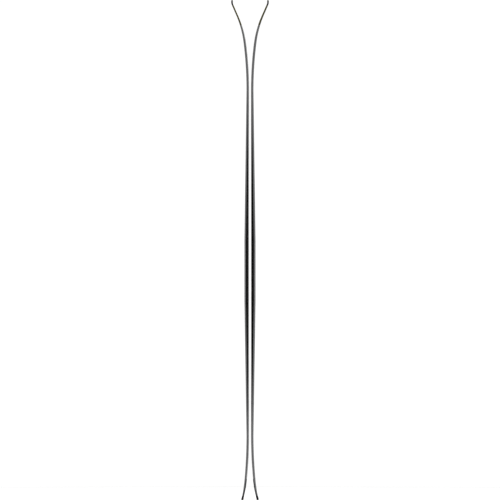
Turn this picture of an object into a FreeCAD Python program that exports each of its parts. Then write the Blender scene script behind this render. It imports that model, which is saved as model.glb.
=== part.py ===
import FreeCAD, Part

import math
import os

import Sketcher

# A pair of metal-edged touring cross-country skis, stored upright and base to base.
# Row frame, millimetres: +Z runs from the tails to the tips, X is across the gap between the two
# running surfaces (the right ski is on +X, its base faces -X), and Y is across the skis' width.
# The origin is on the floor plane of the tails, midway between the skis.
#
# Every sub-part is one or more blocks. A block lies between two long curves of the side profile,
# and inside (and sometimes outside) a plan outline that is the ski's edge line moved inwards.

DIMENSIONS = {
    # overall
    "ski_length": 1890.0,
    "gap_width": 7.6,
    # plan outline
    "shovel_half_width": 49.0,
    "waist_half_width": 34.5,
    "tail_half_width": 44.0,
    "waist_height": 850.0,
    "waist_arc_angle": 0.2,
    "sidecut_radius": 21000.0,
    "shovel_setback": 232.4,
    "shovel_radius": 1500.0,
    "tip_side_radius": 260.0,
    "nose_radius": 22.0,
    "tail_widest_height": 194.8,
    "tail_side_radius": 1600.0,
    "tail_corner_radius": 16.0,
    # side profile of the running surface
    "tip_contact_setback": 341.0,
    "tip_rocker_radius": 1400.0,
    "tip_rocker_angle": 7.2,
    "tip_bend_radius": 370.0,
    "tip_bend_angle": 16.3,
    "tip_straight": 51.6,
    "nose_curl_radius": 20.0,
    "tail_contact_height": 245.0,
    "tail_rocker_radius": 1750.0,
    "tail_rocker_angle": 5.5,
    "tail_bend_radius": 430.0,
    "tail_bend_angle": 9.0,
    # side profile of the top surface
    "contact_thickness": 9.0,
    "middle_thickness": 17.0,
    "plateau_bottom": 753.0,
    "plateau_top": 980.0,
    "top_tip_rocker_radius": 1445.0,
    "top_tip_bend_radius": 380.0,
    "top_tip_straight": 40.5,
    "top_nose_curl_radius": 27.0,
    "top_tail_rocker_radius": 1840.0,
    "top_tail_bend_radius": 432.0,
    # layers, counted from the running surface
    "base_thickness": 1.4,
    "edge_height": 2.0,
    "edge_width": 2.2,
    "edge_flange_width": 5.8,
    "edge_rubber_thickness": 0.3,
    "laminate_thickness": 0.6,
    # layers, counted from the top surface
    "topsheet_thickness": 0.6,
    "upper_laminate_thickness": 0.8,
    "cap_height": 5.4,
    "cap_foot_share": 0.4,
    # core, plate, groove
    "sidewall_width": 8.0,
    "centre_strip_half_width": 4.0,
    "strip_width": 8.0,
    "plate_thickness": 0.8,
    "plate_margin": 4.0,
    "groove_half_width": 4.0,
    "groove_depth": 0.7,
    "groove_margin": 40.0,
    # ends
    "tip_protector_length": 20.0,
    "tail_protector_length": 15.0,
    "tail_protector_wall": 0.5,
    "tip_spacer_length": 75.0,
    "tail_spacer_length": 65.0,
}

doc = FreeCAD.newDocument("CrossCountrySkis")
sheet = doc.addObject("Spreadsheet::Sheet", "Sizes")
for row, (alias, value) in enumerate(DIMENSIONS.items(), start=1):
    sheet.set(f"A{row}", alias)
    sheet.set(f"B{row}", str(value))
    sheet.setAlias(f"B{row}", alias)
doc.recompute()


class Size:
    """A length or angle: its value now, and the same sum written as an expression on the sheet."""

    def __init__(self, value, text):
        self.value = value
        self.text = text

    def __add__(self, other):
        return Size(self.value + other.value, f"({self.text} + {other.text})")

    def __sub__(self, other):
        return Size(self.value - other.value, f"({self.text} - {other.text})")

    def __mul__(self, factor):
        if isinstance(factor, Size):
            return Size(self.value * factor.value, f"({self.text} * {factor.text})")
        return Size(self.value * factor, f"({self.text} * {factor})")


def size(alias):
    """The named dimension, read from the sheet."""
    return Size(float(sheet.get(alias)), f"Sizes.{alias}")


ZERO = Size(0.0, "0")
HALF_GAP = size("gap_width") * 0.5
LENGTH = size("ski_length")
TIP_CONTACT = LENGTH - size("tip_contact_setback")
TAIL_CONTACT = size("tail_contact_height")

# Wider than the ski anywhere, for pads and cuts that must reach past it. The tips rise less.
ROOM = size("shovel_half_width") + size("tail_half_width")
FAR = ROOM * 2

BASE_TOP = size("base_thickness")
EDGE_TOP = size("edge_height")
RUBBER_TOP = EDGE_TOP + size("edge_rubber_thickness")
LAMINATE_TOP = RUBBER_TOP + size("laminate_thickness")
CONTACT = size("contact_thickness")
MIDDLE = size("middle_thickness")
TOPSHEET = size("topsheet_thickness")
CAP_WALL = TOPSHEET + size("upper_laminate_thickness")
PROTECTOR_WALL = size("tail_protector_wall")

EDGE_INSET = size("edge_width")
FLANGE_INSET = EDGE_INSET + size("edge_flange_width")
CORE_INSET = size("sidewall_width")

TAIL_CUT = size("tail_protector_length")
TIP_CUT = LENGTH - size("tip_protector_length")
CORE_BOTTOM = TAIL_CUT + size("tail_spacer_length")
CORE_TOP = TIP_CUT - size("tip_spacer_length")


# ---------------------------------------------------------------- long curves of the side profile

class Curve:
    """One long line of the side profile, from the tail (z = 0) to the nose (z = ski length).

    start is its distance from the running surface at both contact points, and middle the same on
    the plateau under the boot, or None where the curve is straight between the contact points.
    """

    def __init__(self, start, middle, tip_radii, tip_straight, curl_radius, tail_radii):
        self.start = start
        self.middle = middle
        self.tip_radii = tip_radii
        self.tip_straight = tip_straight
        self.curl_radius = curl_radius
        self.tail_radii = tail_radii


def above_base(level, middle=None):
    """The curve at a constant level over the running surface, with its own plateau if given."""
    return Curve(
        level,
        middle,
        (size("tip_rocker_radius") - level, size("tip_bend_radius") - level),
        size("tip_straight"),
        size("nose_curl_radius") + level,
        (size("tail_rocker_radius") - level, size("tail_bend_radius") - level),
    )


def below_top(depth):
    """The curve at a constant depth under the top surface."""
    return Curve(
        CONTACT - depth,
        MIDDLE - depth,
        (size("top_tip_rocker_radius") + depth, size("top_tip_bend_radius") + depth),
        size("top_tip_straight"),
        size("top_nose_curl_radius") - depth,
        (size("top_tail_rocker_radius") + depth, size("top_tail_bend_radius") + depth),
    )


# The foot of the cap, where the sidewall ends and the wrapped topsheet begins: a share of the
# thickness at the contact points, and the cap's height below the top on the plateau.
CAP_FOOT = above_base(CONTACT * size("cap_foot_share"), MIDDLE - size("cap_height"))

# How a sketch counts the points of a line or arc, and its own two axes.
START, END, CENTRE = 1, 2, 3
X_AXIS, Y_AXIS = -1, -2
ORIGIN = (X_AXIS, START)


class Pen:
    """Draws one chain of lines and arcs in a sketch and constrains each piece to the last one."""

    def __init__(self, sketch, x=0.0, y=0.0, up=1):
        self.sketch = sketch
        self.x = x
        self.y = y
        self.up = up
        self.turned = 0.0
        self.last = None

    def constrain(self, kind, *where, value=None):
        """Adds a constraint, and binds its value to the sheet if it has one."""
        if value is None:
            self.sketch.addConstraint(Sketcher.Constraint(kind, *where))
            return
        number = math.radians(value.value) if kind == "Angle" else value.value
        index = self.sketch.addConstraint(Sketcher.Constraint(kind, *where, number))
        self.sketch.setExpression(f"Constraints[{index}]", value.text)

    def place(self, geometry, end, x=None, y=None):
        """Holds a point at a distance from each of the sketch's axes that is given a size."""
        for kind, axis, value in (("DistanceX", Y_AXIS, x), ("DistanceY", X_AXIS, y)):
            if value is None:
                continue
            if value.value == 0:
                self.constrain("PointOnObject", geometry, end, axis)
            elif value.value > 0:
                self.constrain(kind, *ORIGIN, geometry, end, value=value)
            else:
                self.constrain(kind, geometry, end, *ORIGIN, value=value * -1)

    def join(self, geometry, end, smooth):
        """Ties an end of the new piece to the end of the last one."""
        if self.last is not None:
            kind = "Tangent" if smooth else "Coincident"
            self.constrain(kind, *self.last, geometry, end)

    def line(self, to, smooth=False):
        """A straight run to a point."""
        begin = FreeCAD.Vector(self.x, self.y, 0)
        new = self.sketch.addGeometry(
            Part.LineSegment(begin, FreeCAD.Vector(to[0], to[1], 0)), False)
        self.join(new, START, smooth)
        self.x, self.y = to
        self.last = (new, END)
        return new

    def run(self, length):
        """A straight run of a given length along the heading."""
        end_x = self.x + length.value * math.sin(self.turned)
        end_y = self.y + length.value * math.cos(self.turned) * self.up
        new = self.line((end_x, end_y), smooth=True)
        self.constrain("Distance", new, value=length)

    def run_to_height(self, height):
        """A straight run along the heading up or down to a given height."""
        end_x = self.x + (height.value - self.y) * self.up * math.tan(self.turned)
        new = self.line((end_x, height.value), smooth=True)
        self.place(new, END, y=height)

    def arc(self, radius, angle, toward=1):
        """A tangent arc that turns by an angle, towards +x (toward = 1) or back (toward = -1)."""
        reach = toward * radius.value
        centre_x = self.x + reach * math.cos(self.turned)
        centre_y = self.y - reach * math.sin(self.turned) * self.up
        begin = math.atan2(self.y - centre_y, self.x - centre_x)
        self.turned += math.radians(angle.value) * toward
        self.x = centre_x - reach * math.cos(self.turned)
        self.y = centre_y + reach * math.sin(self.turned) * self.up
        finish = math.atan2(self.y - centre_y, self.x - centre_x)
        circle = Part.Circle(
            FreeCAD.Vector(centre_x, centre_y, 0), FreeCAD.Vector(0, 0, 1), radius.value)
        forward = toward * self.up < 0
        first, second = (begin, finish) if forward else (finish, begin)
        new = self.sketch.addGeometry(Part.ArcOfCircle(circle, first, second), False)
        near, far = (START, END) if forward else (END, START)
        self.join(new, near, smooth=True)
        self.constrain("Radius", new, value=radius)
        self.constrain("Angle", new, value=angle)
        self.last = (new, far)
        return new, near


def draw_end(sketch, curve, up):
    """One end of a long curve, from its contact point: to the tip (up = 1) or tail (up = -1).

    Returns the pen at the end of it and the contact point as (geometry, end).
    """
    side = "tip" if up > 0 else "tail"
    contact = TIP_CONTACT if up > 0 else TAIL_CONTACT
    radii = curve.tip_radii if up > 0 else curve.tail_radii
    start = HALF_GAP + curve.start
    pen = Pen(sketch, start.value, contact.value, up)
    first, near = pen.arc(radii[0], size(f"{side}_rocker_angle"))
    pen.place(first, near, start, contact)
    pen.constrain("Horizontal", first, CENTRE, first, near)
    pen.arc(radii[1], size(f"{side}_bend_angle"))
    if up > 0:
        pen.run(curve.tip_straight)
        pen.arc(curve.curl_radius, size("tip_rocker_angle") + size("tip_bend_angle"), -1)
        pen.run_to_height(LENGTH)
    else:
        pen.run_to_height(ZERO)
    return pen, (first, near)


def draw_curve(sketch, curve):
    """Draws a long curve. Returns the pens at its tail end and at its nose end."""
    tail_pen, tail_contact = draw_end(sketch, curve, -1)
    tip_pen, tip_contact = draw_end(sketch, curve, 1)
    start = HALF_GAP + curve.start
    middle = Pen(sketch, start.value, TAIL_CONTACT.value)
    middle.last = tail_contact
    if curve.middle is not None:
        plateau = HALF_GAP + curve.middle
        for height in (size("plateau_bottom"), size("plateau_top")):
            new = middle.line((plateau.value, height.value))
            middle.place(new, END, plateau, height)
    closing = middle.line((start.value, TIP_CONTACT.value))
    middle.constrain("Coincident", closing, END, *tip_contact)
    return tail_pen, tip_pen


def draw_profile(sketch, low, high):
    """The closed side profile between two long curves."""
    for low_pen, high_pen in zip(draw_curve(sketch, low), draw_curve(sketch, high)):
        closing = low_pen.line((high_pen.x, high_pen.y))
        low_pen.constrain("Coincident", closing, END, *high_pen.last)


# ---------------------------------------------------------------- plan outline

class OutlineArc:
    """One arc of the +Y half of the plan outline, on the ski's edge line.

    centre is its (y, z) and bend its radius, as they are now. radius, across (the centre's
    distance from the middle line), height (the centre's) and angle (its own) are sizes where the
    sheet sets them, and None where tangency does. hollow marks the three arcs of the sidecut.
    """

    def __init__(self, centre, bend, radius=None, across=None, height=None, angle=None,
                 hollow=False):
        self.centre = centre
        self.bend = bend
        self.radius = radius
        self.across = across
        self.height = height
        self.angle = angle
        self.hollow = hollow

    def reach(self, inset):
        """Its radius where the edge line is moved inwards: a hollow arc grows by the inset."""
        return self.bend + inset.value if self.hollow else self.bend - inset.value

    def sheet_radius(self, inset):
        """The same radius as a size of the sheet."""
        return self.radius + inset if self.hollow else self.radius - inset


def widest_arc(name, radius, height):
    """The arc through a widest point of the ski, the shovel's or the tail's."""
    across = size(f"{name}_half_width") - radius
    return OutlineArc((across.value, height.value), radius.value, radius, across, height)


def waist_arc():
    """The middle of the sidecut: a short hollow arc about the waist."""
    radius = size("sidecut_radius")
    across = size("waist_half_width") + radius
    height = size("waist_height")
    return OutlineArc((across.value, height.value), radius.value, radius, across, height,
                      size("waist_arc_angle"), hollow=True)


def waist_heading(waist, up):
    """The direction from the waist arc's upper (up = 1) or lower (up = -1) end to its centre."""
    half_angle = math.radians(waist.angle.value) / 2
    return math.cos(half_angle), -up * math.sin(half_angle)


def flank_arc(waist, widest):
    """The hollow arc that runs on from the waist's arc and touches the arc of a widest point."""
    heading = waist_heading(waist, 1 if widest.centre[1] > waist.centre[1] else -1)
    dy = waist.centre[0] - widest.centre[0]
    dz = waist.centre[1] - widest.centre[1]
    touching = waist.bend + widest.bend
    along = dy * heading[0] + dz * heading[1]
    further = (dy ** 2 + dz ** 2 - touching ** 2) / (2 * (touching - along))
    return OutlineArc((waist.centre[0] + further * heading[0],
                       waist.centre[1] + further * heading[1]), waist.bend + further, hollow=True)


def linking_arc(radius, first, second):
    """The arc that touches a larger and a smaller arc from inside and from outside."""
    dy = second.centre[0] - first.centre[0]
    dz = second.centre[1] - first.centre[1]
    apart = math.hypot(dy, dz)
    first_reach = first.bend - radius.value
    second_reach = radius.value - second.bend
    along = (apart ** 2 + first_reach ** 2 - second_reach ** 2) / (2 * apart)
    aside = math.sqrt(first_reach ** 2 - along ** 2)
    return OutlineArc((first.centre[0] + (along * dy + aside * dz) / apart,
                       first.centre[1] + (along * dz - aside * dy) / apart),
                      radius.value, radius)


def outline_arcs():
    """The arcs of the +Y half of the outline, from the nose to the tail."""
    nose_radius = size("nose_radius")
    nose_height = LENGTH - nose_radius
    nose = OutlineArc((0.0, nose_height.value), nose_radius.value, nose_radius, ZERO,
                      nose_height)
    shovel = widest_arc("shovel", size("shovel_radius"), LENGTH - size("shovel_setback"))
    tip_side = linking_arc(size("tip_side_radius"), shovel, nose)
    tail = widest_arc("tail", size("tail_side_radius"), size("tail_widest_height"))
    corner_radius = size("tail_corner_radius")
    corner_reach = tail.bend - corner_radius.value
    corner_drop = tail.centre[1] - corner_radius.value
    corner_y = tail.centre[0] + math.sqrt(corner_reach ** 2 - corner_drop ** 2)
    corner = OutlineArc((corner_y, corner_radius.value), corner_radius.value, corner_radius)
    waist = waist_arc()
    return [nose, tip_side, shovel, flank_arc(waist, shovel), waist, flank_arc(waist, tail),
            tail, corner]


def meeting_point(here, there, inset):
    """Where an arc of the outline meets the next one: on the line through their centres.

    The waist's arc and a flank can share a centre, so there its place is an end of the waist's.
    """
    if here.hollow and there.hollow:
        waist, up = (here, -1) if here.angle else (there, 1)
        heading = waist_heading(waist, up)
        reach = waist.reach(inset)
        return waist.centre[0] - reach * heading[0], waist.centre[1] - reach * heading[1]
    dy = there.centre[0] - here.centre[0]
    dz = there.centre[1] - here.centre[1]
    share = here.reach(inset) / math.hypot(dy, dz)
    if not (here.hollow or there.hollow) and there.reach(inset) > here.reach(inset):
        share = -share
    return here.centre[0] + dy * share, here.centre[1] + dz * share


def arc_between(centre, radius, start, end):
    """The shorter arc round a centre between two points, and its own point at each of them."""
    begin = math.atan2(start[1] - centre[1], start[0] - centre[0])
    finish = math.atan2(end[1] - centre[1], end[0] - centre[0])
    circle = Part.Circle(FreeCAD.Vector(centre[0], centre[1], 0), FreeCAD.Vector(0, 0, 1), radius)
    if (finish - begin) % (2 * math.pi) < math.pi:
        return Part.ArcOfCircle(circle, begin, finish), START, END
    return Part.ArcOfCircle(circle, finish, begin), END, START


def draw_half_outline(pen, arcs, joints, side, inset):
    """The outline's arcs after the nose, down one side (side = 1 or -1 for +Y or -Y)."""
    for index, arc in enumerate(arcs[1:], start=1):
        centre = (arc.centre[0] * side, arc.centre[1])
        start, end = [(y * side, z) for y, z in joints[index - 1:index + 1]]
        geometry, near, far = arc_between(centre, arc.reach(inset), start, end)
        new = pen.sketch.addGeometry(geometry, False)
        pen.join(new, near, smooth=True)
        if arc.radius is not None:
            pen.constrain("Radius", new, value=arc.sheet_radius(inset))
        if arc.angle is not None:
            pen.constrain("Vertical", new, START, new, END)
            pen.constrain("Angle", new, value=arc.angle)
        pen.place(new, CENTRE, arc.across and arc.across * side, arc.height)
        pen.last = (new, far)


def draw_outline(sketch, inset):
    """The ski's edge line moved inwards by the inset: arcs that all stay concentric."""
    arcs = outline_arcs()
    joints = [meeting_point(here, there, inset) for here, there in zip(arcs, arcs[1:])]
    joints.append((arcs[-1].centre[0], inset.value))
    nose = arcs[0]
    opposite = (-joints[0][0], joints[0][1])
    geometry, near, far = arc_between(nose.centre, nose.reach(inset), joints[0], opposite)
    pen = Pen(sketch)
    nose_arc = sketch.addGeometry(geometry, False)
    pen.constrain("Radius", nose_arc, value=nose.sheet_radius(inset))
    pen.place(nose_arc, CENTRE, nose.across, nose.height)
    corners = []
    for side, nose_end in ((1, near), (-1, far)):
        pen.last = (nose_arc, nose_end)
        draw_half_outline(pen, arcs, joints, side, inset)
        corners.append(pen.last)
    pen.x, pen.y = joints[-1]
    pen.last = corners[0]
    tail_line = pen.line((-joints[-1][0], joints[-1][1]), smooth=True)
    pen.constrain("Tangent", *corners[1], tail_line, END)
    pen.constrain("Horizontal", tail_line)
    pen.place(tail_line, START, y=inset)


def draw_box(sketch, low, high):
    """A rectangle between two corners, each a pair of sizes."""
    left, bottom = low
    right, top = high
    pen = Pen(sketch, left.value, bottom.value)
    lines = []
    for x, y in ((right, bottom), (right, top), (left, top), (left, bottom)):
        lines.append(pen.line((x.value, y.value)))
    pen.constrain("Coincident", lines[-1], END, lines[0], START)
    for index, line in enumerate(lines):
        pen.constrain("Vertical" if index % 2 else "Horizontal", line)
    pen.place(lines[0], START, left, bottom)
    pen.place(lines[2], START, right, top)


# ---------------------------------------------------------------- blocks

def new_sketch(body, role, name):
    """A sketch on one of the body's own origin planes."""
    plane = [item for item in body.Origin.OriginFeatures if item.Role == role][0]
    sketch = body.newObject("Sketcher::SketchObject", name)
    sketch.AttachmentSupport = (plane, [""])
    sketch.MapMode = "FlatFace"
    return sketch


def cut_away(body, name, sketch, width=None):
    """Cuts a sketch out of a body, right through or over a width about the sketch's plane."""
    doc.recompute()
    before = body.Shape.Volume
    pocket = body.newObject("PartDesign::Pocket", name)
    pocket.Profile = sketch
    pocket.Type = "ThroughAll" if width is None else "Length"
    pocket.SideType = "Symmetric"
    pocket.Refine = True
    if width is not None:
        pocket.setExpression("Length", width.text)
    doc.recompute()
    if not body.Shape.Volume < before:
        raise RuntimeError(f"{name} took nothing away")


def block(name, low, high, outer=None, inner=None, across=None, along=None, slots=()):
    """One solid between two long curves.

    outer and inner are insets of the plan outline that it stays inside and outside of, across is
    its (from, to) in Y where it isn't the whole width, along its (from, to) in Z, and slots are
    boxes ((x, z), (x, z)) cut through its whole width.
    """
    body = doc.addObject("PartDesign::Body", name)
    profile = new_sketch(body, "XZ_Plane", f"{name}_profile")
    draw_profile(profile, low, high)
    pad = body.newObject("PartDesign::Pad", f"{name}_pad")
    pad.Profile = profile
    if across is None:
        pad.SideType = "Symmetric"
        pad.setExpression("Length", FAR.text)
    else:
        # The sketch's own normal is -Y, so its offset and its lengths are counted that way.
        pad.SideType = "One side"
        pad.Reversed = True
        profile.setExpression("AttachmentOffset.Base.z", (across[0] * -1).text)
        pad.setExpression("Length", (across[1] - across[0]).text)
    if along is not None:
        ends = new_sketch(body, "XZ_Plane", f"{name}_ends")
        if along[0] is not None:
            draw_box(ends, (ROOM * -1, ROOM * -1), (FAR, along[0]))
        if along[1] is not None:
            draw_box(ends, (ROOM * -1, along[1]), (FAR, LENGTH + ROOM))
        cut_away(body, f"{name}_ends_cut", ends)
    if outer is not None:
        trim = new_sketch(body, "YZ_Plane", f"{name}_trim")
        draw_box(trim, (FAR * -1, ROOM * -1), (FAR, LENGTH + ROOM))
        draw_outline(trim, outer)
        cut_away(body, f"{name}_trim_cut", trim)
    if inner is not None:
        hollow = new_sketch(body, "YZ_Plane", f"{name}_hollow")
        draw_outline(hollow, inner)
        cut_away(body, f"{name}_hollow_cut", hollow)
    for index, (slot_low, slot_high) in enumerate(slots):
        slot = new_sketch(body, "XZ_Plane", f"{name}_slot{index}")
        draw_box(slot, slot_low, slot_high)
        cut_away(body, f"{name}_slot{index}_cut", slot)
    return body


def joined(name, *blocks):
    """Blocks of the same material that are one piece."""
    fused = doc.addObject("Part::MultiFuse", name)
    fused.Shapes = list(blocks)
    fused.Refine = True
    doc.recompute()
    return fused


# ---------------------------------------------------------------- sub-parts

def make_base(name):
    """The sintered running base, with its centre groove cut between the contact points."""
    body = block(name, above_base(ZERO), above_base(BASE_TOP), outer=EDGE_INSET,
                 along=(TAIL_CUT, TIP_CUT))
    groove = new_sketch(body, "XZ_Plane", f"{name}_groove")
    margin = size("groove_margin")
    draw_box(groove, (ZERO, TAIL_CONTACT + margin),
             (HALF_GAP + size("groove_depth"), TIP_CONTACT - margin))
    cut_away(body, f"{name}_groove_cut", groove, size("groove_half_width") * 2)
    return body


def half(side):
    """The Y range of one half of the ski."""
    return (ZERO, ROOM) if side > 0 else (ROOM * -1, ZERO)


CORE_SPAN = (CORE_BOTTOM, CORE_TOP)


def make_edge(name, side):
    """A rolled steel edge: a square head with a thin flange that runs in over the base."""
    head = block(f"{name}_head", above_base(ZERO), above_base(EDGE_TOP), outer=ZERO,
                 inner=EDGE_INSET, across=half(side), along=CORE_SPAN)
    flange = block(f"{name}_flange", above_base(BASE_TOP), above_base(EDGE_TOP),
                   outer=EDGE_INSET, inner=FLANGE_INSET, across=half(side), along=CORE_SPAN)
    return joined(name, head, flange)


def make_edge_rubber(name, side):
    """The thin rubber foil that bonds a steel edge to the laminate."""
    return block(name, above_base(EDGE_TOP), above_base(RUBBER_TOP), outer=ZERO,
                 inner=FLANGE_INSET, across=half(side), along=CORE_SPAN)


def make_lower_laminate(name):
    """Glass laminate under the core, stepped down on to the base between the edge flanges."""
    sheet_block = block(f"{name}_sheet", above_base(RUBBER_TOP), above_base(LAMINATE_TOP),
                        outer=ZERO, along=CORE_SPAN)
    step_block = block(f"{name}_step", above_base(BASE_TOP), above_base(RUBBER_TOP),
                       outer=FLANGE_INSET, along=CORE_SPAN)
    return joined(name, sheet_block, step_block)


def strip_edges():
    """The Y boundaries of the seven wood strips of the core, from -Y to +Y."""
    inner = size("centre_strip_half_width")
    edges = [inner, inner + size("strip_width"), inner + size("strip_width") * 2]
    return [ROOM * -1] + [edge * -1 for edge in reversed(edges)] + edges + [ROOM]


def plate_span():
    """The Z range of the binding plate, inside the flat plateau."""
    margin = size("plate_margin")
    return size("plateau_bottom") + margin, size("plateau_top") - margin


def make_core_strip(name, index):
    """One vertical strip of the laminated wood core. The middle five have the plate's recess."""
    edges = strip_edges()
    outermost = index in (0, len(edges) - 2)
    plate_bottom, plate_top = plate_span()
    recess_floor = HALF_GAP + MIDDLE - CAP_WALL - size("plate_thickness")
    recess = ((recess_floor, plate_bottom), (FAR, plate_top))
    return block(name, above_base(LAMINATE_TOP), below_top(CAP_WALL),
                 outer=CORE_INSET if outermost else None,
                 across=(edges[index], edges[index + 1]), along=CORE_SPAN,
                 slots=() if outermost else (recess,))


def make_binding_plate(name):
    """The retention plate for the binding's screws, let into the top of the core."""
    edges = strip_edges()
    return block(name, below_top(CAP_WALL + size("plate_thickness")), below_top(CAP_WALL),
                 across=(edges[1], edges[-2]), along=plate_span())


def make_sidewall(name, side):
    """A sidewall, full width up to the cap's foot and stepped in under the cap above it."""
    wall = block(f"{name}_wall", above_base(LAMINATE_TOP), CAP_FOOT, outer=ZERO,
                 inner=CORE_INSET, across=half(side), along=CORE_SPAN)
    root = block(f"{name}_root", CAP_FOOT, below_top(CAP_WALL), outer=CAP_WALL,
                 inner=CORE_INSET, across=half(side), along=CORE_SPAN)
    return joined(name, wall, root)


def make_cap_layer(name, outside, inside):
    """A layer of the cap between two depths: a flat sheet with walls down to the cap's foot."""
    flat = block(f"{name}_flat", below_top(inside), below_top(outside), outer=outside,
                 along=(TAIL_CUT, TIP_CUT))
    walls = block(f"{name}_walls", CAP_FOOT, below_top(inside), outer=outside, inner=inside,
                  along=(TAIL_CUT, TIP_CUT))
    return joined(name, flat, walls)


def make_end_spacer(name, span):
    """The plastic spacer that replaces core, sidewalls and edges at an end of the ski."""
    rim = block(f"{name}_rim", above_base(ZERO), CAP_FOOT, outer=ZERO, inner=EDGE_INSET,
                along=span)
    lower = block(f"{name}_lower", above_base(BASE_TOP), CAP_FOOT, outer=EDGE_INSET, along=span)
    upper = block(f"{name}_upper", CAP_FOOT, below_top(CAP_WALL), outer=CAP_WALL, along=span)
    return joined(name, rim, lower, upper)


def make_tip_protector(name):
    """The moulded nose piece."""
    return block(name, above_base(ZERO), below_top(ZERO), outer=ZERO, along=(TIP_CUT, None))


def make_tail_protector(name):
    """The moulded tail piece, which stands a little proud of both faces."""
    return block(name, above_base(PROTECTOR_WALL * -1), below_top(PROTECTOR_WALL * -1),
                 outer=ZERO, along=(None, TAIL_CUT))


def make_ski(ski):
    """Every piece of one ski, in the place of the right-hand one."""
    pieces = [make_base(f"{ski}_base")]
    for side, word in ((-1, "left"), (1, "right")):
        pieces.append(make_edge(f"{ski}_{word}_steel_edge", side))
        pieces.append(make_edge_rubber(f"{ski}_{word}_edge_rubber", side))
        pieces.append(make_sidewall(f"{ski}_{word}_sidewall", side))
    pieces.append(make_lower_laminate(f"{ski}_lower_laminate"))
    for index in range(len(strip_edges()) - 1):
        pieces.append(make_core_strip(f"{ski}_core_strip_{index + 1}", index))
    pieces.append(make_binding_plate(f"{ski}_binding_plate"))
    pieces.append(make_cap_layer(f"{ski}_upper_laminate", TOPSHEET, CAP_WALL))
    pieces.append(make_cap_layer(f"{ski}_topsheet", ZERO, TOPSHEET))
    pieces.append(make_end_spacer(f"{ski}_tip_spacer", (CORE_TOP, TIP_CUT)))
    pieces.append(make_end_spacer(f"{ski}_tail_spacer", (TAIL_CUT, CORE_BOTTOM)))
    pieces.append(make_tip_protector(f"{ski}_tip_protector"))
    pieces.append(make_tail_protector(f"{ski}_tail_protector"))
    return pieces


HALF_TURN = FreeCAD.Rotation(FreeCAD.Vector(0, 0, 1), 180)

sub_parts = make_ski("right_ski")
left_pieces = make_ski("left_ski")
for piece in left_pieces:
    piece.Placement = FreeCAD.Placement(FreeCAD.Vector(0, 0, 0), HALF_TURN)
sub_parts += left_pieces
doc.recompute()

for item in doc.Objects:
    if "Invalid" in item.State or "Error" in item.State:
        raise RuntimeError(f"{item.Label} failed: {item.State}")
for piece in sub_parts:
    if piece.Shape.isNull() or not piece.Shape.isValid() or len(piece.Shape.Solids) != 1:
        raise RuntimeError(f"{piece.Label} isn't one valid solid")

os.makedirs("parts", exist_ok=True)
for piece in sub_parts:
    piece.Shape.exportStep(f"parts/{piece.Label}.step")
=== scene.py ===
import math

import bmesh
import bpy
import numpy as np
from mathutils import Matrix, Vector


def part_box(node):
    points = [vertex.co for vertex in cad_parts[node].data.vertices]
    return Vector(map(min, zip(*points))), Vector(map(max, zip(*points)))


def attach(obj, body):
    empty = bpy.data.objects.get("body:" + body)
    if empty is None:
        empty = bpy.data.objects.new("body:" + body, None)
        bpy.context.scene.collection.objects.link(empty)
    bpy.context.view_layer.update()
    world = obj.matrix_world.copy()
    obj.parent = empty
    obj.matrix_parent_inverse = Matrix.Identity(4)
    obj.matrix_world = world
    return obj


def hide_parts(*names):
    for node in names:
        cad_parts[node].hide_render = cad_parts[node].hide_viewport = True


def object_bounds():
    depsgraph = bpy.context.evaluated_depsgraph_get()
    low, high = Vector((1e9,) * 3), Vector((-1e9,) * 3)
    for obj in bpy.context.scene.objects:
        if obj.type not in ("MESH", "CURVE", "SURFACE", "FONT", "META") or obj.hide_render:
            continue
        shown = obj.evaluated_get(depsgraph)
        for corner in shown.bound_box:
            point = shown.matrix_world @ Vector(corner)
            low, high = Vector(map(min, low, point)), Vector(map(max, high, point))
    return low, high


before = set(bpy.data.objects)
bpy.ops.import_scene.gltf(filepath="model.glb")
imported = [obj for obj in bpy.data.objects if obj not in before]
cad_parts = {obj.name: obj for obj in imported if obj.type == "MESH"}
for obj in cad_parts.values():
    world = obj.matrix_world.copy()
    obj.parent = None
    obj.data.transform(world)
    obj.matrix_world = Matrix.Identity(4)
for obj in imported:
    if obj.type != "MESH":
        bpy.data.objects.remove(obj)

# A pair of touring cross-country skis, upright and base to base. Every piece is made for the right
# ski, in millimetres, and the left ski has the same meshes turned half round the upright axis.

cad_low, cad_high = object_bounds()
MM = 0.001

# ---------------------------------------------------------------- sizes, in millimetres

HALF_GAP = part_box("right_ski_base")[0].x / MM
LENGTH = cad_high.z / MM
TIP_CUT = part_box("right_ski_tip_protector")[0].z / MM
TAIL_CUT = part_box("right_ski_tail_protector")[1].z / MM
CORE_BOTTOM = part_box("right_ski_lower_laminate")[0].z / MM
CORE_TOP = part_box("right_ski_lower_laminate")[1].z / MM

# side profile
TIP_CONTACT = LENGTH - 341.0
TAIL_CONTACT = 245.0
PLATEAU = (753.0, 980.0)
CONTACT_THICKNESS = 9.0
MIDDLE_THICKNESS = 17.0
CAP_HEIGHT = 5.4
FOOT_LEVEL = CONTACT_THICKNESS - CAP_HEIGHT
TIP_ANGLES = (math.radians(7.2), math.radians(16.3))
TAIL_ANGLES = (math.radians(5.5), math.radians(9.0))
BASE_TIP = {"radii": (1400.0, 370.0), "straight": 51.6, "curl": 20.0}
BASE_TAIL_RADII = (1750.0, 430.0)
TOP_TIP = {"radii": (1445.0, 380.0), "straight": 40.5, "curl": 27.0}
TOP_TAIL_RADII = (1840.0, 432.0)

# plan outline
SHOVEL_HALF_WIDTH, SHOVEL_RADIUS, SHOVEL_HEIGHT = 49.0, 1500.0, LENGTH - 232.4
WAIST_HALF_WIDTH, WAIST_HEIGHT = 34.5, 850.0
TAIL_HALF_WIDTH, TAIL_RADIUS, TAIL_HEIGHT = 44.0, 1600.0, 194.8
TIP_SIDE_RADIUS = 260.0
NOSE_RADIUS = 22.0
TAIL_CORNER_RADIUS = 16.0

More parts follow.
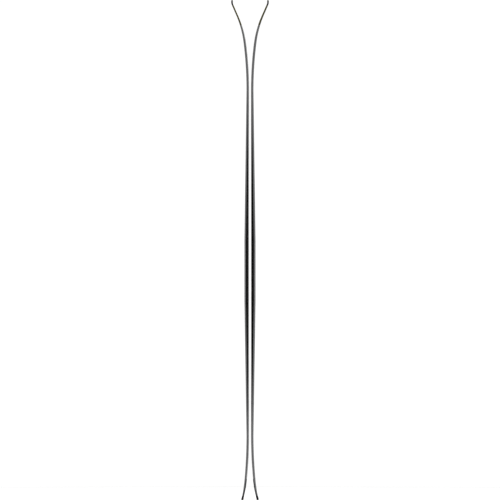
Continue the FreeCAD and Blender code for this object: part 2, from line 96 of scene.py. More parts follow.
# layers, as levels over the running surface, depths under the top and insets from the edge line
BASE_TOP = 1.4
EDGE_TOP = 2.0
RUBBER_TOP = 2.3
LAMINATE_TOP = 2.9
TOPSHEET = 0.6
CAP_WALL = 1.4
EDGE_INSET = 2.2
CORE_INSET = 8.0
PROTECTOR_WALL = 0.5

# the cap's shoulder: a slope that leans in from the foot, then a round on to the flat top
SHOULDER_LEAN = math.radians(25.0)
SHOULDER_ROUND = 3.0
SHOULDER_STEPS = 7
EDGE_CHAMFER = 0.15
TOP_SHARES = (-0.55, -0.28, 0.0, 0.28, 0.55)

# how far a seam is let in, so that it shows as a fine line
SEAM = 0.06
FOOT_SEAM = 0.08
BROKEN_EDGE = 0.05

# the moulded ends
PROTECTOR_ROUND = 1.2
ROUND_STEPS = 5
NOSE_STEPS = 49
TAIL_CORNER_STEPS = 15
TAIL_FLAT_STEPS = 12

# running surface
GROOVE_HALF_WIDTH = 4.0
GROOVE_DEPTH = 0.7
GROOVE_FADE = 40.0
KICK_ZONE = (600.0, 1104.0)
SCALE_PITCH = 8.0
SCALE_DEPTH = 0.6
SCALE_WIDTH = 9.0
SCALE_REACH = 3.0
SCALE_COLUMNS = np.arange(6.0, 28.6, 1.5)
SCALE_MARGIN = 1.5
SCALE_PHASES = (0.0, 0.38, 0.7, 0.96)
GROOVE_COLUMNS = (0.0, 1.3, 2.4, 3.2, 3.8, 4.0, 4.8)

STATION_STEP = 7.0
END_STATION_STEP = 4.0
MERGE_DISTANCE = 1e-6
SHARP_ANGLE = math.radians(28.0)

# the topsheet's design, in metres
PANEL = {"half_width": 0.02, "low": 0.19, "high": 1.7, "taper": 0.14}
STRIPE_OFFSET = 0.0028
STRIPE_HALF_WIDTH = (0.0007, 0.001)
TIP_BAND_HEIGHT = 1.795
PRINT_BLUR = 0.0002


# ---------------------------------------------------------------- side profile

def turned_out(past, angles, radii, straight=None, curl=None):
    """How far a long line has turned outwards at distances past its contact point.

    It is two arcs and a straight run, then, if curl is given, an arc that turns it upright again.
    """
    first, second = radii
    turn, bend = angles[0], angles[0] + angles[1]
    past = np.maximum(past, 0.0)
    first_end = first * math.sin(turn)
    second_end = first_end + second * (math.sin(bend) - math.sin(turn))
    out = first - np.sqrt(first ** 2 - np.minimum(past, first_end) ** 2)
    reach = np.clip(past - first_end, 0.0, second_end - first_end) + second * math.sin(turn)
    out = out + second * math.cos(turn) - np.sqrt(second ** 2 - reach ** 2)
    if curl is None:
        return out + np.maximum(past - second_end, 0.0) * math.tan(bend)
    straight_end = second_end + straight * math.cos(bend)
    out = out + (np.clip(past, second_end, straight_end) - second_end) * math.tan(bend)
    drop = curl * math.sin(bend)
    left = drop - np.clip(past - straight_end, 0.0, drop)
    return out + np.sqrt(curl ** 2 - left ** 2) - curl * math.cos(bend)


def long_line(z, start, middle, tip, tail_radii):
    """The distance of a long line of the side profile from the pair's middle plane."""
    x = np.interp(z, (TAIL_CONTACT, *PLATEAU, TIP_CONTACT), (start, middle, middle, start))
    x = x + turned_out(z - TIP_CONTACT, TIP_ANGLES, **tip)
    return HALF_GAP + x + turned_out(TAIL_CONTACT - z, TAIL_ANGLES, tail_radii)


def over_base(z, level, middle=None):
    """The line at a level over the running surface, with its own plateau if middle is given."""
    tip = {
        "radii": tuple(radius - level for radius in BASE_TIP["radii"]),
        "straight": BASE_TIP["straight"],
        "curl": BASE_TIP["curl"] + level,
    }
    tail_radii = tuple(radius - level for radius in BASE_TAIL_RADII)
    return long_line(z, level, level if middle is None else middle, tip, tail_radii)


def cap_foot(z):
    """The line where the sidewall ends and the cap begins."""
    return over_base(z, FOOT_LEVEL, MIDDLE_THICKNESS - CAP_HEIGHT)


def top_line(z):
    """The line of the top surface."""
    return long_line(z, CONTACT_THICKNESS, MIDDLE_THICKNESS, TOP_TIP, TOP_TAIL_RADII)


# ---------------------------------------------------------------- plan outline

class OutlineArc:
    """An arc of the +Y half of the edge line. hollow marks the sidecut's two arcs."""

    def __init__(self, y, z, radius, hollow=False):
        self.y = y
        self.z = z
        self.radius = radius
        self.hollow = hollow

    def reach(self, inset):
        """Its radius where the edge line is moved inwards."""
        return self.radius + inset if self.hollow else self.radius - inset

    def half_width(self, z, inset):
        """Half the ski's width at heights z on this arc."""
        reach = self.reach(inset)
        aside = np.sqrt(np.maximum(reach ** 2 - (z - self.z) ** 2, 0.0))
        return self.y - aside if self.hollow else self.y + aside


def sidecut_arc(widest):
    """The hollow arc from the waist to the arc through a widest point."""
    narrowing = widest.y + widest.radius - WAIST_HALF_WIDTH
    rise = widest.z - WAIST_HEIGHT
    radius = (rise ** 2 / narrowing + narrowing) / 2 - widest.radius
    return OutlineArc(WAIST_HALF_WIDTH + radius, WAIST_HEIGHT, radius, hollow=True)


def edge_line_arcs():
    """The arcs of the +Y half of the edge line, from the nose to the tail."""
    nose = OutlineArc(0.0, LENGTH - NOSE_RADIUS, NOSE_RADIUS)
    shovel = OutlineArc(SHOVEL_HALF_WIDTH - SHOVEL_RADIUS, SHOVEL_HEIGHT, SHOVEL_RADIUS)
    tail = OutlineArc(TAIL_HALF_WIDTH - TAIL_RADIUS, TAIL_HEIGHT, TAIL_RADIUS)
    dy, dz = nose.y - shovel.y, nose.z - shovel.z
    apart = math.hypot(dy, dz)
    outer, inner = SHOVEL_RADIUS - TIP_SIDE_RADIUS, TIP_SIDE_RADIUS - NOSE_RADIUS
    along = (apart ** 2 + outer ** 2 - inner ** 2) / (2 * apart)
    aside = math.sqrt(outer ** 2 - along ** 2)
    tip_side = OutlineArc(shovel.y + (along * dy + aside * dz) / apart,
                          shovel.z + (along * dz - aside * dy) / apart, TIP_SIDE_RADIUS)
    reach = TAIL_RADIUS - TAIL_CORNER_RADIUS
    corner_y = tail.y + math.sqrt(reach ** 2 - (tail.z - TAIL_CORNER_RADIUS) ** 2)
    corner = OutlineArc(corner_y, TAIL_CORNER_RADIUS, TAIL_CORNER_RADIUS)
    return [nose, tip_side, shovel, sidecut_arc(shovel), sidecut_arc(tail), tail, corner]


ARCS = edge_line_arcs()


def joint_height(here, there, inset):
    """The height at which an arc of the edge line meets the next one."""
    if here.hollow and there.hollow:
        return WAIST_HEIGHT
    share = here.reach(inset) / math.hypot(there.y - here.y, there.z - here.z)
    if not (here.hollow or there.hollow) and there.radius > here.radius:
        share = -share
    return here.z + (there.z - here.z) * share


def half_width(z, inset=0.0):
    """Half the ski's width at heights z, on the edge line moved inwards by the inset."""
    width = ARCS[-1].half_width(z, inset)
    for here, there in zip(reversed(ARCS[:-1]), reversed(ARCS[1:])):
        width = np.where(z >= joint_height(here, there, inset), here.half_width(z, inset), width)
    return width


# ---------------------------------------------------------------- meshes

def heights(low, high, step=STATION_STEP):
    """Stations up the ski, with one at each corner of the side profile."""
    even = np.linspace(low, high, math.ceil((high - low) / step) + 1)
    corners = [z for z in (TAIL_CONTACT, *PLATEAU, TIP_CONTACT) if low < z < high]
    return np.unique(np.concatenate([even, corners]))


def column(x, y, z):
    """A column of points up the ski."""
    return np.stack(np.broadcast_arrays(x, y, z), axis=-1)


def edge_column(z, side, inset, x):
    """A column at an inset from one edge line."""
    return column(x, side * half_width(z, inset), z)


def shoulder(z, side, offset):
    """Columns of the cap's shoulder, from its foot to the flat top, at an offset inside it."""
    cap = top_line(z) - cap_foot(z)
    lean = SHOULDER_LEAN
    centre = SHOULDER_ROUND * math.cos(lean)
    centre = centre + (cap - SHOULDER_ROUND * (1 - math.sin(lean))) * math.tan(lean)
    columns = [edge_column(z, side, offset / math.cos(lean), cap_foot(z))]
    radius = SHOULDER_ROUND - offset
    for angle in np.linspace(lean, math.pi / 2, SHOULDER_STEPS):
        inset = centre - radius * math.cos(angle)
        depth = SHOULDER_ROUND - radius * math.sin(angle)
        y = half_width(z) - inset
        columns.append(column(top_line(z) - depth, side * y, z))
    return columns


def make_mesh(name, points, faces):
    """A mesh in metres from points in millimetres, smooth but for its sharp corners."""
    mesh = bpy.data.meshes.new(name)
    mesh.from_pydata((np.asarray(points).reshape(-1, 3) * MM).tolist(), [], faces)
    shape = bmesh.new()
    shape.from_mesh(mesh)
    bmesh.ops.remove_doubles(shape, verts=shape.verts, dist=MERGE_DISTANCE)
    bmesh.ops.dissolve_degenerate(shape, edges=shape.edges, dist=MERGE_DISTANCE)
    bmesh.ops.recalc_face_normals(shape, faces=shape.faces)
    shape.to_mesh(mesh)
    shape.free()
    mesh.shade_smooth()
    mesh.set_sharp_from_angle(angle=SHARP_ANGLE)
    return mesh


def quads(index, next_index):
    """Faces between two neighbouring rows of point numbers."""
    return np.stack([index[:-1], next_index[:-1], next_index[1:], index[1:]], axis=1).tolist()


def loft(name, columns, sheet=False):
    """A closed solid from columns taken round its cross-section.

    A sheet has as many columns on its second face as on its first, and its ends are closed
    between them. Any other section is closed by one face.
    """
    points = np.stack(columns, axis=1)
    rows, count = points.shape[:2]
    index = np.arange(rows * count).reshape(rows, count)
    faces = []
    for here in range(count):
        faces += quads(index[:, here], index[:, (here + 1) % count])
    for end in (index[0], index[-1]):
        if sheet:
            faces += quads(end[:count // 2], end[::-1][:count // 2])
        else:
            faces.append(end.tolist())
    return make_mesh(name, points, faces)


# ---------------------------------------------------------------- pieces of one ski

def running_rows():
    """Stations of the base, as (height, row of scales or None, phase in the row)."""
    below = [(z, None, 0.0) for z in heights(TAIL_CUT, KICK_ZONE[0] - SCALE_PITCH)]
    above = [(z, None, 0.0) for z in heights(KICK_ZONE[1] + SCALE_PITCH, TIP_CUT)]
    rows = []
    for row in range(round((KICK_ZONE[1] - KICK_ZONE[0]) / SCALE_PITCH)):
        for phase in SCALE_PHASES:
            rows.append((KICK_ZONE[0] + SCALE_PITCH * (row + phase), row, phase))
    return below + rows + above


def running_columns(rows, y_at_waist):
    """One column of the running surface and the one above it on the base's bonded face.

    A scale is flush at its edge, a step that faces the tail, and slopes in towards the tip.
    """
    z = np.array([row[0] for row in rows])
    scale = half_width(z, EDGE_INSET) / (WAIST_HALF_WIDTH - EDGE_INSET)
    y = y_at_waist * (scale if abs(y_at_waist) > GROOVE_COLUMNS[-1] else 1.0)
    depth = np.zeros_like(z)
    if abs(y_at_waist) < GROOVE_HALF_WIDTH:
        share = math.sqrt(1 - (y_at_waist / GROOVE_HALF_WIDTH) ** 2)
        inside = np.minimum(z - TAIL_CONTACT, TIP_CONTACT - z) / GROOVE_FADE - 1.0
        depth = GROOVE_DEPTH * share * np.clip(inside, 0.0, 1.0)
    elif SCALE_COLUMNS[0] <= abs(y_at_waist) <= SCALE_COLUMNS[-1] - SCALE_MARGIN:
        for place, (_, row, phase) in enumerate(rows):
            if row is None:
                continue
            shift = SCALE_WIDTH / 2 * (row % 2)
            z[place] -= SCALE_REACH * abs(math.sin(math.pi * (y_at_waist + shift) / SCALE_WIDTH))
            slope = max(0.0, phase - SCALE_PHASES[1]) / (SCALE_PHASES[-1] - SCALE_PHASES[1])
            depth[place] = SCALE_DEPTH * slope
    return (column(over_base(z, 0.0) + depth, y, z), column(over_base(z, BASE_TOP), y, z))


def make_base():
    """The running base: centre groove, and scales milled into the kick zone."""
    rows = running_rows()
    half = [*GROOVE_COLUMNS, *SCALE_COLUMNS, WAIST_HALF_WIDTH - EDGE_INSET]
    places = [-y for y in reversed(half[1:])] + half
    pairs = [running_columns(rows, y) for y in places]
    return loft("base", [pair[0] for pair in pairs] + [pair[1] for pair in pairs[::-1]], sheet=True)


def make_edge(side):
    """A rolled steel edge: a head with a ground corner and a thin flange in over the base."""
    z = heights(CORE_BOTTOM, CORE_TOP)
    section = ((EDGE_CHAMFER, 0.0), (EDGE_INSET, 0.0), (EDGE_INSET, BASE_TOP),
               (CORE_INSET, BASE_TOP), (CORE_INSET, EDGE_TOP), (BROKEN_EDGE, EDGE_TOP),
               (0.0, EDGE_TOP - BROKEN_EDGE), (0.0, EDGE_CHAMFER))
    return loft("edge", [edge_column(z, side, inset, over_base(z, level))
                         for inset, level in section])


def make_edge_rubber(side):
    """The rubber foil over a steel edge, a hair inside the sidewall's face."""
    z = heights(CORE_BOTTOM, CORE_TOP)
    section = ((SEAM, EDGE_TOP), (CORE_INSET, EDGE_TOP), (CORE_INSET, RUBBER_TOP),
               (SEAM, RUBBER_TOP))
    return loft("rubber", [edge_column(z, side, inset, over_base(z, level))
                           for inset, level in section])


def make_lower_laminate():
    """Glass laminate under the core, stepped down on to the base between the edges."""
    z = heights(CORE_BOTTOM, CORE_TOP)
    section = ((SEAM / 2, LAMINATE_TOP), (SEAM / 2, RUBBER_TOP), (CORE_INSET, RUBBER_TOP),
               (CORE_INSET, BASE_TOP))
    left = [edge_column(z, -1, inset, over_base(z, level)) for inset, level in section]
    right = [edge_column(z, 1, inset, over_base(z, level)) for inset, level in section]
    return loft("laminate", left + right[::-1])


def make_sidewall(side):
    """A sidewall: upright to the cap's foot, then leaning in under the shoulder."""
    z = heights(CORE_BOTTOM, CORE_TOP)
    columns = [edge_column(z, side, BROKEN_EDGE, over_base(z, LAMINATE_TOP)),
               edge_column(z, side, 0.0, over_base(z, LAMINATE_TOP + BROKEN_EDGE)),
               edge_column(z, side, 0.0, cap_foot(z) - FOOT_SEAM),
               edge_column(z, side, FOOT_SEAM, cap_foot(z))]
    columns += shoulder(z, side, CAP_WALL)
    columns.append(edge_column(z, side, CORE_INSET, top_line(z) - CAP_WALL))
    columns.append(edge_column(z, side, CORE_INSET, over_base(z, LAMINATE_TOP)))
    return loft("sidewall", columns)


def make_cap_layer(outside, inside):
    """A layer of the cap between two depths: its flat top and both shoulders."""
    z = heights(TAIL_CUT, TIP_CUT)
    faces = []
    for depth in (outside, inside):
        middle = [column(top_line(z) - depth, share * half_width(z), z)
                  for share in TOP_SHARES]
        faces.append(shoulder(z, -1, depth) + middle + shoulder(z, 1, depth)[::-1])
    return loft("cap", faces[0] + faces[1][::-1], sheet=True)


def make_end_spacer(low, high):
    """The plastic spacer that fills an end of the ski in place of core, sidewalls and edges."""
    z = heights(low, high, END_STATION_STEP)

    def half(side):
        rim = [edge_column(z, side, EDGE_INSET, over_base(z, BASE_TOP)),
               edge_column(z, side, EDGE_INSET, over_base(z, 0.0)),
               edge_column(z, side, EDGE_CHAMFER, over_base(z, 0.0)),
               edge_column(z, side, 0.0, over_base(z, EDGE_CHAMFER)),
               edge_column(z, side, 0.0, cap_foot(z) - FOOT_SEAM),
               edge_column(z, side, FOOT_SEAM, cap_foot(z))]
        return rim + shoulder(z, side, CAP_WALL)

    return loft("spacer", half(-1) + half(1)[::-1])


def tip_rim(inset):
    """Points (y, z) round the nose from the cut on the +Y side to the cut on the -Y side."""
    nose = ARCS[0]
    radius = nose.reach(inset)
    first = math.asin((TIP_CUT - nose.z) / radius)
    angles = np.linspace(first, math.pi - first, NOSE_STEPS)
    return radius * np.cos(angles), nose.z + radius * np.sin(angles)


def tail_rim(inset):
    """Points (y, z) round the tail from the cut on the +Y side to the cut on the -Y side."""
    corner = ARCS[-1]
    radius = corner.reach(inset)
    first = math.asin((TAIL_CUT - corner.z) / radius)
    angles = np.linspace(first, -math.pi / 2, TAIL_CORNER_STEPS)
    y = corner.y + radius * np.cos(angles)
    z = corner.z + radius * np.sin(angles)
    flat = np.linspace(corner.y, -corner.y, TAIL_FLAT_STEPS)[1:-1]
    return (np.concatenate([y, flat, -y[::-1]]),
            np.concatenate([z, np.full_like(flat, inset), z[::-1]]))


def rounded_corner(proud):
    """The rounded base-side corner of a moulded end, as (inset, level) from the face outwards."""
    points = []
    for angle in np.linspace(0.0, math.pi / 2, ROUND_STEPS):
        inset = PROTECTOR_ROUND * (1 - math.sin(angle))
        points.append((inset, PROTECTOR_ROUND * (1 - math.cos(angle)) - proud))
    return points


def make_protector(rim, proud):
    """A moulded end piece: the ski's own section carried round the end and closed.

    rim gives the points round the end at an inset, and proud is how far it stands out.
    """
    rings = []
    for inset, level in rounded_corner(proud):
        y, z = rim(inset)
        rings.append(column(over_base(z, level), y, z))
    y, z = rim(0.0)
    rings.append(column(cap_foot(z), y, z))
    cap = (top_line(z) + proud - cap_foot(z)).min()
    slope = (cap - SHOULDER_ROUND * (1 - math.sin(SHOULDER_LEAN))) * math.tan(SHOULDER_LEAN)
    centre = SHOULDER_ROUND * math.cos(SHOULDER_LEAN) + slope
    for angle in np.linspace(SHOULDER_LEAN, math.pi / 2, SHOULDER_STEPS):
        y, z = rim(centre - SHOULDER_ROUND * math.cos(angle))
        depth = SHOULDER_ROUND * (1 - math.sin(angle)) - proud
        rings.append(column(top_line(z) - depth, y, z))
    points = np.stack(rings)
    count = points.shape[1]
    index = np.arange(len(rings) * count).reshape(len(rings), count)
    faces = []
    for here, there in zip(index, index[1:]):
        faces += quads(here, there)
    for face in (index[0], index[-1]):
        faces += quads(face[:count // 2], face[::-1][:count // 2])
        middle = face[count // 2 - 1:count - count // 2 + 1]
        if len(middle) > 2:
            faces.append(middle.tolist())
    faces.append(index[:, 0].tolist() + index[::-1, -1].tolist())
    return make_mesh("protector", points, faces)


# ---------------------------------------------------------------- materials

class Finish:
    """A procedural material: textures in the object's own metres drive one principled shader."""

    def __init__(self, name, **sockets):
        self.name = name
        self.material = bpy.data.materials.new(name)
        self.material.use_nodes = True
        self.nodes = self.material.node_tree.nodes
        self.links = self.material.node_tree.links
        self.shader = self.nodes["Principled BSDF"]
        self.place = self.nodes.new("ShaderNodeTexCoord").outputs["Object"]
        for socket, value in sockets.items():
            self.shader.inputs[socket.replace("_", " ")].default_value = value

    def scaled(self, scales):
        """The place, with its own number of features to the metre along each axis."""
        mapping = self.nodes.new("ShaderNodeMapping")
        mapping.inputs["Scale"].default_value = scales
        self.links.new(self.place, mapping.inputs["Vector"])
        return mapping.outputs["Vector"]

    def noise(self, scales, detail=3.0, roughness=0.55):
        """Cloudy noise."""
        noise = self.nodes.new("ShaderNodeTexNoise")
        noise.inputs["Scale"].default_value = 1.0
        noise.inputs["Detail"].default_value = detail
        noise.inputs["Roughness"].default_value = roughness
        self.links.new(self.scaled(scales), noise.inputs["Vector"])
        return noise.outputs["Fac"]

    def cells(self, scales):
        """A pattern of small cells, by their distance from the cell's middle."""
        voronoi = self.nodes.new("ShaderNodeTexVoronoi")
        voronoi.inputs["Scale"].default_value = 1.0
        self.links.new(self.scaled(scales), voronoi.inputs["Vector"])
        return voronoi.outputs["Distance"]

    def ranged(self, value, low, high, start=0.3, end=0.7):
        """A value spread from low to high."""
        spread = self.nodes.new("ShaderNodeMapRange")
        spread.inputs["From Min"].default_value = start
        spread.inputs["From Max"].default_value = end
        spread.inputs["To Min"].default_value = low
        spread.inputs["To Max"].default_value = high
        self.links.new(value, spread.inputs["Value"])
        return spread.outputs["Result"]

    def along(self, axis):
        """The distance from the object's origin along an axis, in metres."""
        split = self.nodes.new("ShaderNodeSeparateXYZ")
        self.links.new(self.place, split.inputs["Vector"])
        return split.outputs[axis]

    def panel_distance(self, half_width, low, high, taper):
        """The distance outside a long centre panel whose ends, at low and high, are pointed."""
        height = self.along("Z")
        from_middle = self.maths("ABSOLUTE", self.maths("SUBTRACT", height, (low + high) / 2))
        past_end = self.maths("SUBTRACT", from_middle, (high - low) / 2)
        narrowing = self.maths("MULTIPLY", self.maths("MAXIMUM", past_end, 0.0), taper)
        across = self.maths("ADD", self.maths("ABSOLUTE", self.along("Y")), narrowing)
        return self.maths("SUBTRACT", across, half_width)

    def beyond(self, value, edge):
        """1 where a value is past an edge and 0 before it."""
        return self.ranged(value, 0.0, 1.0, edge - PRINT_BLUR, edge + PRINT_BLUR)

    def maths(self, how, first, second=None):
        """One sum on a value and a number or another value."""
        node = self.nodes.new("ShaderNodeMath")
        node.operation = how
        self.links.new(first, node.inputs[0])
        if isinstance(second, float):
            node.inputs[1].default_value = second
        elif second is not None:
            self.links.new(second, node.inputs[1])
        return node.outputs["Value"]

    def mixed(self, share, first, second):
        """A colour between two, by a share that is a value."""
        mix = self.nodes.new("ShaderNodeMix")
        mix.data_type = "RGBA"
        # A mix node has sockets of the same name for each data type, so these go by identifier.
        sockets = {socket.identifier: socket for socket in (*mix.inputs, *mix.outputs)}
        self.links.new(share, sockets["Factor_Float"])
        self.links.new(first, sockets["A_Color"])
        self.links.new(second, sockets["B_Color"])
        return sockets["Result_Color"]

    def colours(self, value, stops):
        """The colour along a ramp of (place, colour) stops."""
        ramp = self.nodes.new("ShaderNodeValToRGB")
        points = ramp.color_ramp.elements
        while len(points) < len(stops):
            points.new(0.5)
        for point, (place, colour) in zip(points, stops):
            point.position = place
            point.color = (*colour, 1.0)
        self.links.new(value, ramp.inputs["Fac"])
        return ramp.outputs["Color"]

    def drive(self, socket, value):
        """Connects a value or colour to one of the shader's inputs."""
        self.links.new(value, self.shader.inputs[socket])

    def relief(self, value, height):
        """Bump of a height in metres."""
        bump = self.nodes.new("ShaderNodeBump")
        bump.inputs["Distance"].default_value = height
        self.links.new(value, bump.inputs["Height"])
        self.links.new(bump.outputs["Normal"], self.shader.inputs["Normal"])
        return self


def base_finish():
    """Sintered black base: stone-ground lines along the ski, grey bloom where the wax has gone."""
    finish = Finish("base_plastic", Specular_IOR_Level=0.5)
    lines = finish.noise((1500.0, 1500.0, 9.0), detail=4.0)
    bloom = finish.noise((25.0, 25.0, 6.0))
    both = finish.maths("MULTIPLY", lines, bloom)
    finish.drive("Base Color", finish.colours(
        both, ((0.15, (0.006, 0.006, 0.007)), (0.45, (0.045, 0.045, 0.049)))))
    finish.drive("Roughness", finish.ranged(bloom, 0.2, 0.42))
    return finish.relief(lines, 0.00006)


def steel_finish():
    """Bright ground steel: file marks along the edge and a few dull patches."""
    finish = Finish("steel_edge", Metallic=1.0)
    lines = finish.noise((2500.0, 2500.0, 30.0), detail=5.0)
    patches = finish.noise((60.0, 60.0, 14.0))
    finish.drive("Base Color", finish.colours(
        patches, ((0.3, (0.34, 0.34, 0.345)), (0.7, (0.44, 0.44, 0.445)))))
    finish.drive("Roughness", finish.ranged(lines, 0.22, 0.4))
    return finish.relief(lines, 0.00002)


def rubber_finish():
    """Matt black rubber foil with a fine grain."""
    finish = Finish("edge_rubber", Specular_IOR_Level=0.1)
    grain = finish.noise((900.0, 900.0, 900.0))
    finish.drive("Base Color", finish.colours(
        grain, ((0.3, (0.01, 0.01, 0.01)), (0.7, (0.02, 0.02, 0.02)))))
    finish.drive("Roughness", finish.ranged(grain, 0.7, 0.9))
    return finish.relief(grain, 0.00003)


def laminate_finish():
    """Glass laminate: straight rovings along the ski in a dark amber resin."""
    finish = Finish("glass_laminate", Specular_IOR_Level=0.3)
    rovings = finish.noise((1200.0, 1200.0, 20.0), detail=5.0)
    finish.drive("Base Color", finish.colours(
        rovings, ((0.3, (0.02, 0.018, 0.012)), (0.7, (0.075, 0.068, 0.045)))))
    finish.drive("Roughness", finish.ranged(rovings, 0.3, 0.5))
    return finish.relief(rovings, 0.00004)


def sidewall_finish():
    """Satin black sidewall: milling lines along the ski, and scuffs."""
    finish = Finish("sidewall_plastic", Specular_IOR_Level=0.03)
    lines = finish.noise((1600.0, 1600.0, 12.0), detail=4.0)
    scuffs = finish.noise((130.0, 130.0, 40.0), detail=6.0)
    finish.drive("Base Color", finish.colours(
        scuffs, ((0.45, (0.0008, 0.0008, 0.0008)), (0.8, (0.004, 0.004, 0.004)))))
    finish.drive("Roughness", finish.ranged(lines, 0.45, 0.62))
    return finish.relief(lines, 0.00003)


def topsheet_finish():
    """Graphite film with a pressed grain, long streaks and scratches. Its mid-grey is partly the
    film's own colour and partly painted sheen, lightened to stand for the light that the sloped
    shoulders catch.

    Its print is a dark centre panel with a light pinstripe round it, and an olive band at the tip.
    """
    finish = Finish("topsheet_film", Specular_IOR_Level=0.3, Coat_Weight=0.12, Coat_Roughness=0.3)
    grain = finish.cells((1300.0, 1300.0, 900.0))
    streaks = finish.noise((70.0, 70.0, 2.5), detail=4.0)
    scratches = finish.noise((900.0, 900.0, 35.0), detail=6.0, roughness=0.7)
    # The film's mid-grey is partly its own colour and partly painted sheen: it is lightened to
    # stand for the sheen that the sloped shoulders catch beside the black sidewalls.
    film_grey_and_painted_sheen = finish.colours(
        streaks, ((0.3, (0.088, 0.089, 0.092)), (0.7, (0.116, 0.117, 0.12))))
    tip_film = finish.colours(
        streaks, ((0.3, (0.022, 0.021, 0.014)), (0.7, (0.036, 0.035, 0.024))))
    inner = finish.colours(
        streaks, ((0.3, (0.012, 0.012, 0.013)), (0.7, (0.024, 0.024, 0.026))))
    stripe = finish.colours(scratches, ((0.3, (0.42, 0.42, 0.42)), (0.7, (0.55, 0.55, 0.55))))
    distance = finish.panel_distance(**PANEL)
    from_stripe = finish.maths("ABSOLUTE", finish.maths("SUBTRACT", distance, STRIPE_OFFSET))
    on_stripe = finish.ranged(from_stripe, 1.0, 0.0, *STRIPE_HALF_WIDTH)
    outer = finish.mixed(finish.beyond(finish.along("Z"), TIP_BAND_HEIGHT), film_grey_and_painted_sheen, tip_film)
    face = finish.mixed(finish.beyond(distance, 0.0), inner, outer)
    finish.drive("Base Color", finish.mixed(on_stripe, face, stripe))
    finish.drive("Roughness", finish.ranged(scratches, 0.42, 0.6))
    return finish.relief(finish.maths("MULTIPLY", grain, scratches), 0.00005)


def gold_finish():
    """Gold-pigmented plastic with fine metal flake."""
    finish = Finish("tip_spacer_gold", Metallic=0.2, Specular_IOR_Level=0.1)
    flake = finish.cells((1800.0, 1800.0, 1800.0))
    flow = finish.noise((90.0, 90.0, 30.0))
    sparkle = finish.maths("MULTIPLY", flake, flow)
    finish.drive("Base Color", finish.colours(
        sparkle, ((0.05, (0.048, 0.042, 0.003)), (0.5, (0.075, 0.066, 0.006)))))
    finish.drive("Roughness", finish.ranged(flow, 0.4, 0.55))
    return finish.relief(flake, 0.00003)


def moulded_finish(name, dark, light, roughness):
    """Moulded plastic: a fine spark-eroded grain and slight flow marks."""
    finish = Finish(name, Specular_IOR_Level=0.12)
    grain = finish.noise((1400.0, 1400.0, 1400.0), detail=5.0)
    flow = finish.noise((60.0, 60.0, 25.0))
    finish.drive("Base Color", finish.colours(flow, ((0.3, (dark,) * 3), (0.7, (light,) * 3))))
    finish.drive("Roughness", finish.ranged(grain, roughness - 0.08, roughness + 0.08))
    return finish.relief(grain, 0.00005)


def wood_finish(name, dark, light):
    """Core wood: growth rings stretched along the strip, with pores."""
    finish = Finish(name, Specular_IOR_Level=0.3, Roughness=0.6)
    rings = finish.noise((160.0, 160.0, 5.0), detail=6.0)
    pores = finish.noise((1500.0, 1500.0, 60.0), detail=3.0)
    figure = finish.maths("ADD", rings, pores)
    finish.drive("Base Color", finish.colours(
        figure, ((0.75, dark), (1.0, light))))
    return finish.relief(pores, 0.00006)


def plate_finish():
    """Rolled metal plate: fine lines along the ski."""
    finish = Finish("binding_plate", Metallic=1.0)
    lines = finish.noise((1800.0, 1800.0, 20.0), detail=4.0)
    finish.drive("Base Color", finish.colours(
        lines, ((0.3, (0.5, 0.5, 0.5)), (0.7, (0.62, 0.62, 0.63)))))
    finish.drive("Roughness", finish.ranged(lines, 0.3, 0.45))
    return finish.relief(lines, 0.00002)


FINISHES = {finish.name: finish.material for finish in (
    base_finish(),
    steel_finish(),
    rubber_finish(),
    laminate_finish(),
    sidewall_finish(),
    topsheet_finish(),
    gold_finish(),
    moulded_finish("tail_spacer_black", 0.0015, 0.004, 0.5),
    moulded_finish("protector_plastic", 0.003, 0.008, 0.6),
    wood_finish("core_wood_light", (0.42, 0.28, 0.15), (0.62, 0.46, 0.28)),
    wood_finish("core_wood_dark", (0.2, 0.11, 0.05), (0.34, 0.2, 0.1)),
    plate_finish(),
)}


# ---------------------------------------------------------------- both skis

PIECES = {
    "base": (make_base(), "base_plastic"),
    "left_steel_edge": (make_edge(-1), "steel_edge"),
    "right_steel_edge": (make_edge(1), "steel_edge"),
    "left_edge_rubber": (make_edge_rubber(-1), "edge_rubber"),
    "right_edge_rubber": (make_edge_rubber(1), "edge_rubber"),
    "lower_laminate": (make_lower_laminate(), "glass_laminate"),
    "left_sidewall": (make_sidewall(-1), "sidewall_plastic"),
    "right_sidewall": (make_sidewall(1), "sidewall_plastic"),
    "upper_laminate": (make_cap_layer(TOPSHEET, CAP_WALL), "glass_laminate"),
    "topsheet": (make_cap_layer(0.0, TOPSHEET), "topsheet_film"),
    "tip_spacer": (make_end_spacer(CORE_TOP, TIP_CUT), "tip_spacer_gold"),
    "tail_spacer": (make_end_spacer(TAIL_CUT, CORE_BOTTOM), "tail_spacer_black"),
    "tip_protector": (make_protector(tip_rim, 0.0), "protector_plastic"),
    "tail_protector": (make_protector(tail_rim, PROTECTOR_WALL), "protector_plastic"),
}
HALF_TURN = Matrix.Rotation(math.pi, 4, "Z")

for ski, turn in (("right_ski", Matrix.Identity(4)), ("left_ski", HALF_TURN)):
    for word, (mesh, finish_name) in PIECES.items():
        node = f"{ski}_{word}"
        turned = mesh.copy()
        turned.transform(turn)
        turned.materials.append(FINISHES[finish_name])
        piece = bpy.data.objects.new(f"{node}_shape", turned)
        bpy.context.scene.collection.objects.link(piece)
        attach(piece, ski)
        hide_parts(node)

# The core strips and the binding plate stay as the CAD's own nodes, with the same finishes.
for name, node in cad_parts.items():
    if not node.hide_render:
        if "core_strip" in name:
            slot = "core_wood_light" if int(name[-1]) % 2 else "core_wood_dark"
        else:
            slot = "binding_plate"
        node.data.materials.clear()
        node.data.materials.append(FINISHES[slot])

# ---------------------------------------------------------------- studio

FLOOR_RADIUS = 3.0
FLOOR_SIDES = 96
CAMERA_DISTANCE = 50.0
CAMERA_AZIMUTH = math.radians(0.6)
SENSOR = 36.0
SEEN_STRENGTH = 1.05
LIGHTING_STRENGTH = 0.72

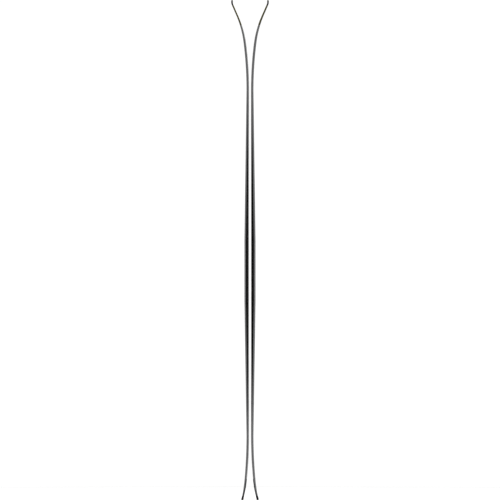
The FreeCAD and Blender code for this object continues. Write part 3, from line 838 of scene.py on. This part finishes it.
# name, place in metres, width, height and power in watts
SOFTBOXES = (
    ("front_softbox", (0.0, -3.5, 1.0), 3.0, 3.0, 9.0),
    ("right_softbox", (3.0, -1.2, 1.4), 0.9, 2.4, 22.0),
    ("left_softbox", (-3.0, -1.2, 1.4), 0.9, 2.4, 22.0),
    ("overhead_softbox", (0.0, 0.4, 4.2), 2.5, 2.5, 95.0),
)


def make_floor():
    """A plain pale studio floor."""
    finish = Finish("studio_floor", Specular_IOR_Level=0.0, Roughness=0.9)
    mottle = finish.noise((3.0, 3.0, 3.0))
    finish.drive("Base Color", finish.colours(
        mottle, ((0.3, (0.93, 0.93, 0.93)), (0.7, (0.96, 0.96, 0.96)))))
    angles = np.linspace(0.0, 2 * math.pi, FLOOR_SIDES, endpoint=False)
    rim = [(FLOOR_RADIUS * math.cos(a), FLOOR_RADIUS * math.sin(a), 0.0) for a in angles]
    mesh = bpy.data.meshes.new("studio_floor")
    mesh.from_pydata(rim, [], [list(range(len(rim)))])
    mesh.materials.append(finish.material)
    floor = bpy.data.objects.new("studio_floor", mesh)
    bpy.context.scene.collection.objects.link(floor)


def make_world():
    """White behind everything, and a softer white as light."""
    world = bpy.data.worlds.new("studio")
    world.use_nodes = True
    nodes, links = world.node_tree.nodes, world.node_tree.links
    nodes.clear()
    seen = nodes.new("ShaderNodeBackground")
    seen.inputs["Strength"].default_value = SEEN_STRENGTH
    lighting = nodes.new("ShaderNodeBackground")
    lighting.inputs["Strength"].default_value = LIGHTING_STRENGTH
    for background in (seen, lighting):
        background.inputs["Color"].default_value = (1.0, 1.0, 1.0, 1.0)
    path = nodes.new("ShaderNodeLightPath")
    mix = nodes.new("ShaderNodeMixShader")
    output = nodes.new("ShaderNodeOutputWorld")
    links.new(path.outputs["Is Camera Ray"], mix.inputs["Fac"])
    links.new(lighting.outputs["Background"], mix.inputs[1])
    links.new(seen.outputs["Background"], mix.inputs[2])
    links.new(mix.outputs["Shader"], output.inputs["Surface"])
    bpy.context.scene.world = world


def make_softbox(name, place, width, height, power):
    """A large soft light aimed at the middle of the skis."""
    light = bpy.data.lights.new(name, "AREA")
    light.shape = "RECTANGLE"
    light.size = width
    light.size_y = height
    light.energy = power
    softbox = bpy.data.objects.new(name, light)
    softbox.location = place
    aim = Vector((0.0, 0.0, LENGTH * MM / 2)) - Vector(place)
    softbox.rotation_euler = aim.to_track_quat("-Z", "Y").to_euler()
    softbox.visible_camera = False
    bpy.context.scene.collection.objects.link(softbox)


def make_camera():
    """Exactly edge-on from far away, with the skis' length filling the frame."""
    data = bpy.data.cameras.new("camera")
    data.sensor_width = SENSOR
    data.lens = SENSOR * CAMERA_DISTANCE / (LENGTH * MM)
    data.clip_end = CAMERA_DISTANCE * 2
    camera = bpy.data.objects.new("camera", data)
    aside, back = math.sin(CAMERA_AZIMUTH), math.cos(CAMERA_AZIMUTH)
    camera.location = (CAMERA_DISTANCE * aside, -CAMERA_DISTANCE * back, LENGTH * MM / 2)
    camera.rotation_euler = (math.pi / 2, 0.0, CAMERA_AZIMUTH)
    bpy.context.scene.collection.objects.link(camera)
    bpy.context.scene.camera = camera


make_floor()
make_world()
for softbox in SOFTBOXES:
    make_softbox(*softbox)
make_camera()
bpy.context.scene.view_settings.view_transform = "Standard"
